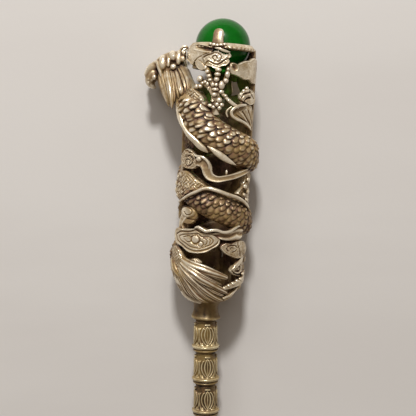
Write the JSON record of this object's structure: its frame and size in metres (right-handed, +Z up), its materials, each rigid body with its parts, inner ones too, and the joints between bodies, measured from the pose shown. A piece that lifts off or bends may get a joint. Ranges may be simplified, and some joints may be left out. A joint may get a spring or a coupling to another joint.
{
  "type": "hair stick",
  "caption": "Long tapered hair stick with an openwork cast head of a coiled dragon and clouds, a ring and prongs round a glassy ball, and a petal stem.",
  "frame": {"origin": "centre of the bottom of the box that the lying stick fills, on the surface it rests on", "axes": "+Y along the stick towards its ball, +X to the side away from the dragon's own head, +Z up from the surface"},
  "size_m": [0.0252, 0.1764, 0.0201],
  "materials": {
    "white_metal": "aged cast white metal, bright on the high places and dark brown in the recesses",
    "stem_metal": "aged cast white metal with a warmer tone",
    "pin_metal": "plain rubbed metal",
    "green_glass": "polished, clouded green glass"
  },
  "bodies": {
    "root": {"ball": "green_glass", "head": "white_metal", "stem": "stem_metal", "pin": "pin_metal"}
  },
  "joints": []
}
